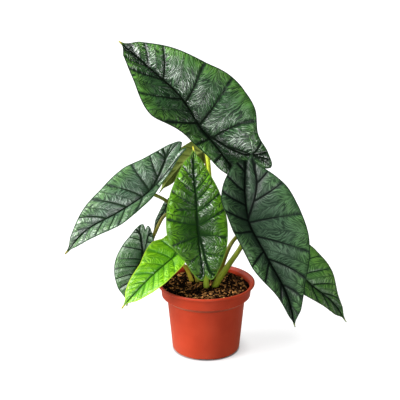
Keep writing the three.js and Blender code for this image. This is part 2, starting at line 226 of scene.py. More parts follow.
def corm_skin():
    paint = Paint("rough corm skin", Roughness=0.85)
    rings = paint.grain(5, detail=3.0, stretch=(0.2, 0.2, 1))
    fibre = paint.grain(1.2, detail=5.0)
    colour = paint.blend(paint.ramp(rings, 0.35, 0.65), *CORM_BROWN)
    colour = paint.blend(paint.ramp(fibre, 0.55, 0.75), colour, CORM_FIBRE)
    return paint.finish(colour, paint.ramp(fibre, 0.3, 0.7, 0.75, 0.95), paint.relief(fibre, 0.6))


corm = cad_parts["corm"]
corm.data.materials.clear()
corm.data.materials.append(corm_skin())

# Soil: peat and composted bark, filled in loosely up to just below the rim. Its body is the
# packed mass with a hole for each stalk, and a layer of loose crumbs, chips and fibres lies on
# its top.
SOIL_TOP = 83
SOIL_EDGE = 52.6
SOIL_LUMPS = [(21, 0.66, 0.5), (9, 0.44, 1.7)]
CRUMBS = 3400
CHIPS = 420
FIBRES = 170
STALK_FEET = [
    (6, 29, 4.6), (-10.5, 10, 3.8), (0.5, -8, 4.6), (11.5, -4.5, 5), (15, 21, 3.8), (-8, 20, 3.2),
    (-18.5, 13, 3.8), (-1, 34, 3.2), (-10, 30, 2.8),
]
STALK_CLEARANCE = 0.3
LUMP_LEAN = 0.5
LUMP_JOLT = 0.45
PEAT_DARK = (0.008, 0.005, 0.003, 1)
PEAT_LIGHT = (0.06, 0.028, 0.012, 1)
CRUMB_DARK = (0.005, 0.003, 0.002, 1)
CRUMB_LIGHT = (0.8, 0.38, 0.12, 1)
BARK_DARK = (0.04, 0.016, 0.006, 1)
BARK_LIGHT = (0.62, 0.3, 0.1, 1)
DRY_SPECK = (0.34, 0.13, 0.035, 1)
DAMP_SPECK = (0.006, 0.004, 0.003, 1)


def peat(name, dark, light):
    paint = Paint(name, Roughness=0.92, IOR=1.1)
    clod = paint.grain(4, detail=2.0)
    speck = paint.grain(0.8, detail=5.0)
    colour = paint.blend(paint.ramp(paint.number("dryness"), 0.64, 1.0), dark, light)
    colour = paint.blend(paint.ramp(speck, 0.62, 0.72), colour, DRY_SPECK)
    colour = paint.blend(paint.ramp(speck, 0.45, 0.36), colour, DAMP_SPECK)
    roughness = paint.ramp(speck, 0.3, 0.7, 0.8, 0.98)
    skin = paint.relief(clod, 2.2, strength=0.8)
    return paint.finish(colour, roughness, paint.relief(speck, 0.9, under=skin))


def soil_height(x, y):
    share = math.hypot(x, y) / SOIL_EDGE
    rise = SOIL_TOP - 2 * share ** 6
    for length, height, turn in SOIL_LUMPS:
        along = x * math.cos(turn) + y * math.sin(turn)
        across = y * math.cos(turn) - x * math.sin(turn)
        wave = 2 * math.pi / length
        rise += height * math.sin(wave * along) * math.cos(wave * across)
    return rise


def free_spot(dice, size):
    """A place on the soil that is clear of the pot and of the stalks."""
    while True:
        radius = (SOIL_EDGE - size) * math.sqrt(dice.random())
        angle = dice.uniform(0, 2 * math.pi)
        x, y = radius * math.cos(angle), radius * math.sin(angle)
        room = size + STALK_CLEARANCE
        if all(math.hypot(x - a, y - b) > foot + room for a, b, foot in STALK_FEET):
            return x, y


def scatter(name, count, seed, sizes, stretch, sink, material):
    """Small broken lumps laid at random on the soil, as one piece."""
    dice = random.Random(seed)
    mesh = bmesh.new()
    dryness = mesh.verts.layers.float.new("dryness")
    for _ in range(count):
        size = dice.uniform(*sizes) * dice.uniform(0.5, 1)
        x, y = free_spot(dice, size * max(stretch))
        turn = Matrix.Rotation(dice.uniform(0, 2 * math.pi), 4, "Z")
        lean = Matrix.Rotation(dice.uniform(-LUMP_LEAN, LUMP_LEAN), 4, "X")
        shape = Matrix.Diagonal([size * MM * part for part in stretch] + [1])
        rise = soil_height(x, y) + size * sink
        place = Matrix.Translation((x * MM, y * MM, rise * MM))
        pose = place @ turn @ lean @ shape
        lump = bmesh.ops.create_icosphere(mesh, subdivisions=1, radius=1, matrix=pose)
        dry = dice.random()
        for vert in lump["verts"]:
            vert[dryness] = dry
            jolt = [dice.uniform(-LUMP_JOLT, LUMP_JOLT) * size * MM * part for part in stretch]
            vert.co += turn @ Vector(jolt)
    piece = new_piece(name, mesh, material, sharp=25)


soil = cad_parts["soil"]
soil.data.materials.clear()
soil.data.materials.append(peat("packed peat", PEAT_DARK, PEAT_LIGHT))
crumb_peat = peat("loose peat", CRUMB_DARK, CRUMB_LIGHT)
bark = peat("bark chips", BARK_DARK, BARK_LIGHT)
scatter("soil_crumbs", CRUMBS, 3, (1.0, 2.9), (1, 0.7, 0.7), 0.05, crumb_peat)
scatter("bark_chips", CHIPS, 5, (1.4, 3.2), (1.2, 0.5, 0.3), 0.35, bark)
scatter("peat_fibres", FIBRES, 8, (2.2, 5.0), (1, 0.07, 0.07), 0.15, bark)

# Leaves: nine shield-shaped blades. Each one's sizes are those of the plant as measured: the
# point where the stalk meets it, its tip, the middle of its lobe ends, the way its upper face
# looks, its arch, side bend, fold and wavy margin, and its half widths from the lobes to the tip.
JUNCTION = 0.62
MARGIN_ROWS = [0, 0.075, 0.28, 0.465, 0.63, 0.71, 0.79, 0.875, 1, 1.1]
MARGIN_STATIONS = [1, 0.95, 0.7, 0.4, 0.1, -0.2, -0.5, -0.8, -1, -0.8]
SPINE_STATIONS = [-1, 0, 0.35, 0.7, 1]
TIP_HALF_WIDTH = 0.8
ACUMEN = 0.24
VEIN_SWEEP = 1.3
BLADE_THICKNESS = 0.9
RIB_THICKNESS = 1.4
RIB_WIDTH = 2.6
LOBE_RIB_REACH = 0.92
PUFF = 0.1
QUILT = 1.4
WAVES = 3
WAVE_SHIFT = 0.15

LEAVES = {
    "top": {
        "joint": (-2, 42, 265), "tip": (-106, 62, 374), "back": (69, 29, 216),
        "face": (0.05, -1, 0.65), "arch": 11, "sweep": (6, 2), "fold": (29, 16), "notch": 0.75,
        "wave": 1.5, "grid": (160, 230), "left": [16, 30, 33, 26, 27, 56, 31],
        "right": [13, 28, 40, 63, 70, 51, 35],
        "stalk": [(5, 26, 62), (6, 29, 84), (5, 32, 143), (3, 38, 224)], "foot": 4.5, "neck": 2.6,
    },
    "left": {
        "joint": (-67, -5, 206), "tip": (-168, -32, 135), "back": (-27, 22, 255),
        "face": (-0.36, -1, 0.96), "arch": 7, "sweep": (-2, 5), "fold": (22, 22), "notch": 0.88,
        "wave": 1, "grid": (96, 180), "left": [8, 7, 9, 9, 14, 24, 18],
        "right": [4, 16, 25, 33, 42, 34, 18],
        "stalk": [(-8, 9, 62), (-10.5, 10, 84), (-20, 8, 126), (-45, 2, 188)], "foot": 3.6,
        "neck": 2.1,
    },
    "center": {
        "joint": (-10, -28, 165), "tip": (-16, -6, 261), "back": (0, -34, 103),
        "face": (0.52, -1, 0.28), "arch": 4, "sweep": (-2, -3), "fold": (5, 11), "notch": 0.9,
        "wave": 0.8, "grid": (110, 190), "left": [5, 18, 27, 40, 42, 37, 20],
        "right": [6, 19, 29, 35, 37, 31, 18],
        "stalk": [(1, -5, 62), (0.5, -8, 84), (-1, -12, 112), (-7, -14, 142)], "foot": 4.5,
        "neck": 2.4,
    },
    "right": {
        "joint": (49, -38, 181), "tip": (106, -58, 53), "back": (48, -12, 251),
        "face": (0.25, -1, 0.34), "arch": 7, "sweep": (-1, -5), "fold": (25, 14), "notch": 0.93,
        "wave": 1.2, "grid": (130, 230), "left": [5, 14, 36, 54, 62, 50, 24],
        "right": [15, 33, 37, 29, 23, 23, 12],
        "stalk": [(8, -1, 62), (11.5, -4.5, 84), (26, -10, 111), (43, -17, 142)], "foot": 5,
        "neck": 2.7,
    },
    "far_right": {
        "joint": (105, 20, 103), "tip": (174, -8, 37), "back": (80, 40, 134),
        "face": (0.07, -0.7, 1.04), "arch": 6, "sweep": (3, -2), "fold": (17, 21), "notch": 0.85,
        "wave": 0.8, "grid": (90, 150), "left": [11, 20, 27, 32, 37, 32, 12],
        "right": [11, 19, 26, 27, 25, 23, 16],
        "stalk": [(9, 23, 62), (15, 21, 84), (34, 21, 134), (56, 40, 141), (78, 46, 122)],
        "foot": 3.6, "neck": 2,
    },
    "low_left": {
        "joint": (-78, 8, 116), "tip": (-97, -18, 62), "back": (-74, 19, 154),
        "face": (-0.55, -1, 0.43), "arch": 5, "sweep": (1, 0), "fold": (25, 12), "notch": 0.85,
        "wave": 0.8, "grid": (76, 130), "left": [4, 14, 20, 21, 21, 20, 17],
        "right": [4, 14, 21, 28, 32, 27, 17],
        "stalk": [(-9, 17, 62), (-8, 20, 84), (-26, 22, 150), (-48, 20, 168), (-64, 18, 142)],
        "foot": 3, "neck": 2,
    },
    "young": {
        "joint": (-39, -20, 127), "tip": (-100, -58, 76), "back": (-23, -10, 144),
        "face": (-0.28, -0.8, 1), "arch": 6, "sweep": (-1, -1), "fold": (18, 12), "notch": 0.8,
        "wave": 0.8, "grid": (80, 130), "left": [9, 14, 18, 20, 23, 26, 16],
        "right": [9, 18, 25, 27, 33, 22, 15],
        "stalk": [(-14, 14, 62), (-18.5, 13, 84), (-27, 1, 108)], "foot": 3.6, "neck": 2.1,
    },
    "back": {
        "joint": (-3, 60, 238), "tip": (-59, 46, 187), "back": (22, 66, 262),
        "face": (0.24, 0.9, 0.58), "arch": 7, "sweep": (-3, -2), "fold": (12, 13), "notch": 0.8,
        "wave": 0.6, "grid": (60, 110), "left": [6, 11, 16, 19, 20, 17, 10],
        "right": [6, 11, 16, 19, 20, 17, 10],
        "stalk": [(0, 32, 62), (-1, 34, 84), (3, 40, 140), (0, 49, 216)], "foot": 3, "neck": 1.8,
    },
    "sliver": {
        "joint": (-50, 42, 168), "tip": (-67, 34, 137), "back": (-45, 45, 180),
        "face": (-0.88, -0.8, 0.4), "arch": 2, "sweep": (-1, -1), "fold": (12, 12), "notch": 0.8,
        "wave": 0.3, "grid": (40, 60), "left": [3, 4, 6, 7, 7, 6, 4],
        "right": [3, 4, 6, 7, 7, 6, 4],
        "stalk": [(-5, 27, 62), (-10, 30, 84), (-28, 44, 143)], "foot": 2.6, "neck": 1.4,
    },
}

# Each leaf's veins: the rows at which a side vein leaves the midrib and reaches the margin,
# and for each lobe the row that its rib ends on, how early it gets there, and its side veins
# as shares of the rib and rows at the margin.
COMMON_VEINS = {
    "side": [(0.1, 0.07), (0.19, 0.15), (0.29, 0.25), (0.39, 0.36), (0.49, 0.47), (0.58, 0.58)],
    "rib": (0.87, 5), "lobe": [(0.08, 0.69), (0.25, 0.78), (0.55, 0.83), (0.4, 0.94), (0.16, 1)],
}
VEINS = {
    ("top", "left"): {
        "side": [(0.1, 0.06), (0.19, 0.13), (0.285, 0.21), (0.42, 0.35), (0.545, 0.525)],
        "rib": (0.83, 3), "lobe": [(0.08, 0.665), (0.35, 0.75), (0.5, 0.9), (0.2, 1)],
    },
    ("top", "right"): {
        "side": [(0.1, 0.08), (0.19, 0.16), (0.285, 0.255), (0.44, 0.455), (0.56, 0.59)],
        "rib": (0.875, 8), "lobe": [(0.03, 0.75), (0.5, 0.82), (0.4, 0.93), (0.12, 1)],
    },
    ("left", "left"): {
        "side": [(0.11, 0.1), (0.21, 0.2), (0.3, 0.3), (0.375, 0.385), (0.44, 0.445), (0.55, 0.56)],
        "rib": (0.85, 3), "lobe": [(0.1, 0.7), (0.4, 0.8), (0.3, 0.95)],
    },
    ("left", "right"): {
        "side": [
            (0.1, 0.07), (0.2, 0.17), (0.32, 0.28), (0.45, 0.41), (0.55, 0.52), (0.615, 0.665),
        ],
        "rib": (0.825, 5), "lobe": [(0.12, 0.75), (0.5, 0.79), (0.4, 0.9), (0.16, 1)],
    },
    ("center", "left"): {
        "side": [
            (0.12, 0.09), (0.24, 0.21), (0.34, 0.31), (0.44, 0.405), (0.46, 0.525), (0.575, 0.59),
        ],
        "rib": (0.95, 8), "lobe": [(0.02, 0.72), (0.1, 0.82), (0.4, 0.91)],
    },
    ("center", "right"): {
        "side": [
            (0.12, 0.1), (0.24, 0.24), (0.32, 0.3), (0.395, 0.355), (0.48, 0.45), (0.575, 0.565),
        ],
        "rib": (0.93, 7), "lobe": [(0.02, 0.71), (0.12, 0.8), (0.4, 0.89), (0.2, 1)],
    },
    ("right", "left"): {
        "side": [(0.12, 0.1), (0.24, 0.215), (0.395, 0.32), (0.515, 0.445), (0.595, 0.615)],
        "rib": (0.89, 1.8), "lobe": [(0.2, 0.745), (0.45, 0.82), (0.6, 0.95), (0.35, 1)],
    },
    ("right", "right"): {
        "side": [
            (0.12, 0.11), (0.25, 0.25), (0.375, 0.39), (0.435, 0.49), (0.54, 0.65), (0.61, 0.735),
        ],
        "rib": (1, 12), "lobe": [(0.02, 0.83), (0.05, 0.9), (0.12, 0.985)],
    },
}


def curve_point(a, b, leave, reach, t):
    """The point at share t of a smooth curve that leaves a and reaches b with these slopes."""
    bend = leave * (t ** 3 - 2 * t ** 2 + t) + reach * (t ** 3 - t ** 2)
    return a * (2 * t ** 3 - 3 * t ** 2 + 1) + b * (3 * t ** 2 - 2 * t ** 3) + bend


def through(knots, values, x):
    """A smooth curve of values or vectors through knots."""
    i = 0
    while i < len(knots) - 2 and x > knots[i + 1]:
        i += 1

    def slope(k):
        a, b = max(k - 1, 0), min(k + 1, len(knots) - 1)
        return (values[b] - values[a]) / (knots[b] - knots[a])

    span = knots[i + 1] - knots[i]
    t = min(max((x - knots[i]) / span, 0), 1)
    return curve_point(values[i], values[i + 1], slope(i) * span, slope(i + 1) * span, t)


class Blade:
    """The middle surface of one leaf. u runs from the left margin, -1, over the midrib to the
    right margin, 1, and v from the tip, 0, over the junction to the lobe ends, 1."""

    def __init__(self, name):
        self.name = name
        self.leaf = leaf = LEAVES[name]
        joint, tip = Vector(leaf["joint"]), Vector(leaf["tip"])
        axis = (tip - joint).normalized()
        face = Vector(leaf["face"])
        self.face = (face - axis * face.dot(axis)).normalized()
        self.side = axis.cross(self.face)
        self.spine = [Vector(leaf["back"]), joint]
        for station, sweep in zip(SPINE_STATIONS[2:], leaf["sweep"]):
            rise = leaf["arch"] * 4 * station * (1 - station)
            self.spine.append(joint.lerp(tip, station) + self.face * rise + self.side * sweep)
        self.spine.append(tip)
        self.rows = {}

    def row(self, v):
        """Where row v starts and ends along the spine, and its width on both sides."""
        if v not in self.rows:
            lobe = max((v - JUNCTION) / (1 - JUNCTION), 0)
            start = -lobe * self.leaf["notch"] if lobe > 0 else 1 - v / JUNCTION
            widths = []
            for side in ("left", "right"):
                inward = list(reversed(self.leaf[side]))
                ends = [TIP_HALF_WIDTH, ACUMEN * inward[0], *inward, 2 * inward[-1] - inward[-2]]
                widths.append(through(MARGIN_ROWS, ends, v))
            self.rows[v] = (lobe, start, through(MARGIN_ROWS, MARGIN_STATIONS, v), widths)
        return self.rows[v]

    def point(self, u, v):
        lobe, start, end, widths = self.row(v)
        out = abs(u)
        way = 1 if u > 0 else -1 if u < 0 else 0
        share = (1 - lobe) * out ** VEIN_SWEEP + lobe * math.sin(math.pi / 2 * out)
        width = widths[0 if u < 0 else 1]
        fold = math.radians(self.leaf["fold"][0 if u < 0 else 1])
        swell = 2 * PUFF * width * out * (1 - out)
        phase = 2 * math.pi * (WAVES * v + WAVE_SHIFT * way)
        ripple = self.leaf["wave"] * out ** 2 * math.sin(phase)
        across = width * out * math.cos(fold) - swell * math.sin(fold)
        lift = width * out * math.sin(fold) + swell * math.cos(fold) + ripple
        spine = through(SPINE_STATIONS, self.spine, start + (end - start) * share)
        return spine + self.side * (way * across) + self.face * lift

    def normal(self, u, v):
        step = 0.004
        along = self.point(u, v - step) - self.point(u, v + step)
        across = self.point(u + step, v) - self.point(u - step, v)
        return across.cross(along).normalized()

    def rib_place(self, side, share):
        """A point of a lobe's rib, which leaves the junction close to the midline."""
        row, haste = self.veins(side)["rib"]
        return LOBE_RIB_REACH * share, JUNCTION + (row - JUNCTION) * (1 - (1 - share) ** haste)

    def veins(self, side):
        return VEINS.get((self.name, side), COMMON_VEINS)


# Stalks: fleshy round petioles that rise from the corm through the soil, thick where they
# sheathe each other at the foot and thin under the blade, mottled, with faint lengthwise ribs.
STALK_RINGS = 90
STALK_SIDES = 28
STALK_RIBS = 7
STALK_RIB_DEPTH = 0.06
STALK_GAP = 0.3
NECK_REACH = 4
ROUTE_STEPS = 40
STALK_EARTH = (0.07, 0.04, 0.02, 1)
STALK_TONES = {
    "top": [(0.2, 0.24, 0.012), (0.5, 0.6, 0.032), (0.6, 0.7, 0.04)],
    "left": [(0.22, 0.2, 0.02), (0.16, 0.18, 0.016), (0.2, 0.24, 0.02)],
    "center": [(0.2, 0.28, 0.028), (0.25, 0.36, 0.032), (0.22, 0.34, 0.024)],
    "right": [(0.2, 0.27, 0.016), (0.13, 0.17, 0.012), (0.11, 0.13, 0.008)],
    "far_right": [(0.18, 0.13, 0.012), (0.12, 0.13, 0.008), (0.12, 0.12, 0.008)],
    "low_left": [(0.2, 0.18, 0.02), (0.17, 0.16, 0.02), (0.19, 0.17, 0.02)],
    "young": [(0.34, 0.26, 0.028), (0.42, 0.34, 0.032), (0.46, 0.44, 0.032)],
    "back": [(0.12, 0.1, 0.012), (0.12, 0.11, 0.008), (0.14, 0.13, 0.012)],
    "sliver": [(0.12, 0.15, 0.02), (0.1, 0.13, 0.016), (0.09, 0.12, 0.016)],
}


def curve_through(points):
    """A smooth route through points, as close steps along it with their distances."""
    knots = [2 * points[0] - points[1], *points, 2 * points[-1] - points[-2]]
    steps = [points[0]]
    for a, b, c, d in zip(knots, knots[1:], knots[2:], knots[3:]):
        before, here, after = [(q - p).length ** 0.5 for p, q in ((a, b), (b, c), (c, d))]
        leave = ((b - a) / before - (c - a) / (before + here) + (c - b) / here) * here
        reach = ((c - b) / here - (d - b) / (here + after) + (d - c) / after) * here
        for i in range(1, ROUTE_STEPS + 1):
            steps.append(curve_point(b, c, leave, reach, i / ROUTE_STEPS))
    lengths = [0.0]
    for p, q in zip(steps, steps[1:]):
        lengths.append(lengths[-1] + (q - p).length)
    return steps, lengths


def along_route(steps, lengths, share):
    goal = share * lengths[-1]
    i = 1
    while i < len(lengths) - 1 and lengths[i] < goal:
        i += 1
    return steps[i - 1].lerp(steps[i], (goal - lengths[i - 1]) / (lengths[i] - lengths[i - 1]))


def shaded(tone, share):
    """A colour made darker or lighter by a share."""
    return (*[min(part * share, 1) for part in tone[:3]], 1)


def fleshy_stalk(name):
    foot, middle, neck = [(*tone, 1) for tone in STALK_TONES[name]]
    paint = Paint(f"{name} stalk skin", IOR=1.35, Coat_Weight=0.06, Coat_Roughness=0.3)
    share = paint.number("share")
    mottle = paint.grain(5, detail=4.0, stretch=(1, 1, 0.35))
    stripe = paint.grain(1.6, detail=3.0, stretch=(1, 1, 0.06))
    colour = paint.blend(paint.ramp(share, 0.05, 0.4), foot, middle)
    colour = paint.blend(paint.ramp(share, 0.55, 1.0), colour, neck)
    spots = paint.times(paint.ramp(mottle, 0.5, 0.62), 0.4)
    colour = paint.blend(spots, colour, shaded(middle, 0.42))
    lines = paint.times(paint.ramp(stripe, 0.5, 0.68), 0.35)
    colour = paint.blend(lines, colour, shaded(neck, 1.5))
    earth = paint.times(paint.ramp(share, 0.13, 0.1), paint.ramp(mottle, 0.35, 0.6))
    colour = paint.blend(earth, colour, STALK_EARTH)
    roughness = paint.ramp(mottle, 0.3, 0.7, 0.34, 0.46)
    return paint.finish(colour, roughness, paint.relief(stripe, 0.25, strength=0.6))


def stalk(name):
    leaf, blade = LEAVES[name], Blade(name)
    joint = Vector(leaf["joint"])
    below = -blade.normal(0, JUNCTION)
    underside = BLADE_THICKNESS / 2 + RIB_THICKNESS + STALK_GAP
    route = [Vector(point) for point in leaf["stalk"]]
    route.append(joint + below * (underside + NECK_REACH * leaf["neck"]))
    route.append(joint + below * underside)
    steps, lengths = curve_through(route)
    rings = []
    facing = Vector((1, 0, 0))
    for i in range(STALK_RINGS + 1):
        share = i / STALK_RINGS
        ahead = along_route(steps, lengths, min(share + 0.004, 1))
        behind = along_route(steps, lengths, max(share - 0.004, 0))
        heading = (ahead - behind).normalized()
        facing = (facing - heading * facing.dot(heading)).normalized()
        radius = leaf["neck"] + (leaf["foot"] - leaf["neck"]) * (1 - share) ** 2
        place = along_route(steps, lengths, share)
        rings.append((share, place, facing, heading.cross(facing), radius))
    mesh = bmesh.new()
    share_layer = mesh.verts.layers.float.new("share")
    bmesh.ops.create_grid(mesh, x_segments=STALK_SIDES, y_segments=STALK_RINGS, size=1)
    for vert in mesh.verts:
        angle = math.pi * (vert.co.x + 1)
        share, place, facing, sideways, radius = rings[round((vert.co.y + 1) / 2 * STALK_RINGS)]
        rib = 0.5 + 0.5 * math.cos(STALK_RIBS * angle + 2 * share)
        radius *= 1 - STALK_RIB_DEPTH * rib
        spoke = facing * math.cos(angle) + sideways * math.sin(angle)
        vert[share_layer] = share
        vert.co = (place + spoke * radius) * MM
    bmesh.ops.remove_doubles(mesh, verts=mesh.verts, dist=0.01 * MM)
    bmesh.ops.holes_fill(mesh, edges=mesh.edges, sides=STALK_SIDES)
    bmesh.ops.recalc_face_normals(mesh, faces=mesh.faces)
    piece = new_piece(f"petiole_{name}", mesh, fleshy_stalk(name), sharp=60)
    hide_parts(f"stalk_{name}")


for name in LEAVES:
    stalk(name)

# Blades: thin, leathery and waxy, quilted up between sunken dark side veins, with a thick
# midrib below and a drip tip. Each one grows in one piece from the end of its stalk.
COLUMN_SPREAD = 1.05
QUILT_REACH = 5
RIB_FADE = 0.25
NERVE_HEIGHT = 0.4
VEIN_SINK = 0.5
RIB_GROOVE = 1.6
MARGIN_THINNESS = 0.35
THINNING_WIDTH = 4
DRIP_TIP = 3
DRIP_FLARE = 15
DRIP_SLIM = 0.2
COMB_SPACING = 3.0
COMB_LENGTH = 13
COMB_SLANT = 0.42
COMB_WANDER = 2.2
COMB_DRIFT = 7
CREASE_WIDTH = (0.09, 0.02)
CREASE_SHARE = 0.95
CREST_WIDTH = (0.07, 0.2)
CREST_SHARE = 0.28
# Painted light: the paler green laid on the crests between the creases.
CREST_LIGHT_TONE = 2.4
HAIR_WIDTH = (0.9, 0.3)
BRIGHT_MARGIN = (24, 1.5)
RIB_SHADE = 0.4
HEART_SHADE = 0.75
HEART_DULLNESS = 0.9
KEEL_WIDTH = (1.9, 0.9)
MARGIN_WIDTH = (1.7, 0.9)
TIP_LENGTH = (7, 4.5)
BLADE_TONES = {
    "top": {
        "web": (0.036, 0.105, 0.032), "bright": (0.1, 0.26, 0.034), "deep": (0.007, 0.02, 0.009),
        "vein": (0.006, 0.012, 0.006), "margin": (0.01, 0.03, 0.01), "tip": (0.45, 0.4, 0.05),
        "below": (0.2, 0.3, 0.1), "halo": 4.2, "wax": 0.85, "gloss": 0.22,
        "comb": 0.45, "bold": 1.25, "heart": 10,
    },
    "left": {
        "web": (0.06, 0.125, 0.068), "bright": (0.1, 0.23, 0.055), "deep": (0.015, 0.036, 0.019),
        "vein": (0.012, 0.025, 0.012), "margin": (0.02, 0.05, 0.02), "tip": (0.5, 0.42, 0.06),
        "below": (0.2, 0.3, 0.1), "halo": 2.8, "wax": 0.75, "gloss": 0.36,
        "comb": 0.3, "bold": 1.1, "heart": 22,
    },
    "center": {
        "web": (0.032, 0.13, 0.007), "bright": (0.19, 0.48, 0.016), "deep": (0.01, 0.04, 0.006),
        "vein": (0.012, 0.045, 0.01), "margin": (0.12, 0.26, 0.03), "tip": (0.55, 0.5, 0.05),
        "below": (0.2, 0.32, 0.08), "halo": 1.8, "wax": 0.8, "gloss": 0.17,
        "comb": 0.22, "bold": 0.6, "heart": 32,
    },
    "right": {
        "web": (0.03, 0.064, 0.032), "bright": (0.07, 0.17, 0.045), "deep": (0.009, 0.02, 0.011),
        "vein": (0.003, 0.006, 0.004), "margin": (0.012, 0.028, 0.012), "tip": (0.3, 0.3, 0.06),
        "below": (0.18, 0.26, 0.1), "halo": 4, "wax": 0.17, "gloss": 0.35,
        "comb": 0.17, "bold": 1.2, "heart": 48,
    },
    "far_right": {
        "web": (0.05, 0.14, 0.025), "bright": (0.1, 0.22, 0.035), "deep": (0.025, 0.07, 0.02),
        "vein": (0.008, 0.02, 0.008), "margin": (0.03, 0.06, 0.02), "tip": (0.35, 0.35, 0.06),
        "below": (0.18, 0.28, 0.08), "halo": 3, "wax": 0.25, "gloss": 0.35,
        "comb": 0.2, "bold": 0.8, "heart": 20,
    },
    "low_left": {
        "web": (0.03, 0.085, 0.027), "bright": (0.07, 0.17, 0.035), "deep": (0.018, 0.05, 0.018),
        "vein": (0.006, 0.014, 0.006), "margin": (0.02, 0.05, 0.02), "tip": (0.3, 0.3, 0.05),
        "below": (0.18, 0.28, 0.08), "halo": 1.6, "wax": 0.55, "gloss": 0.33,
        "comb": 0.15, "bold": 0.6, "heart": 20,
    },
    "young": {
        "web": (0.11, 0.31, 0.005), "bright": (0.22, 0.46, 0.01), "deep": (0.05, 0.2, 0.006),
        "vein": (0.035, 0.13, 0.008), "margin": (0.26, 0.42, 0.03), "tip": (0.7, 0.6, 0.08),
        "below": (0.35, 0.5, 0.08), "halo": 1.6, "wax": 0.35, "gloss": 0.3,
        "comb": 0.14, "bold": 0.45, "heart": 6,
    },
    "back": {
        "web": (0.1, 0.2, 0.05), "bright": (0.16, 0.28, 0.06), "deep": (0.05, 0.1, 0.03),
        "vein": (0.02, 0.04, 0.015), "margin": (0.2, 0.2, 0.06), "tip": (0.4, 0.35, 0.1),
        "below": (0.22, 0.28, 0.06), "halo": 3, "wax": 0.3, "gloss": 0.4,
        "comb": 0.2, "bold": 0.8, "heart": 10,
    },
    "sliver": {
        "web": (0.03, 0.08, 0.025), "bright": (0.05, 0.12, 0.03), "deep": (0.015, 0.04, 0.015),
        "vein": (0.006, 0.014, 0.006), "margin": (0.02, 0.04, 0.02), "tip": (0.2, 0.2, 0.05),
        "below": (0.15, 0.22, 0.08), "halo": 3, "wax": 0.4, "gloss": 0.35,
        "comb": 0.2, "bold": 0.8, "heart": 10,
    },
}


def comb(paint, vein, reach, nearest):
    """Noise drawn out into a comb of fine creases that slant off the side veins: nought along
    a crease, and more away from it."""
    bend = paint.times(paint.calc("POWER", vein, 1.3), COMB_SLANT)
    wander = paint.ramp(paint.grain(13, detail=2.0), 0.25, 0.75, -COMB_WANDER, COMB_WANDER)
    drift = paint.ramp(paint.grain(34, detail=1.0), 0.2, 0.8, -COMB_DRIFT, COMB_DRIFT)
    slant = paint.calc("ADD", paint.calc("SUBTRACT", reach, bend), wander)
    slant = paint.calc("DIVIDE", paint.calc("ADD", slant, drift), COMB_SPACING)
    place = paint.lay("CombineXYZ", {0: slant, 1: paint.calc("DIVIDE", nearest, COMB_LENGTH)})
    inputs = {"Vector": place, "Scale": 1.0, "Detail": 1.5, "Roughness": 0.4}
    barbs = paint.lay("TexNoise", inputs)
    return paint.calc("ABSOLUTE", paint.calc("SUBTRACT", barbs, 0.5))


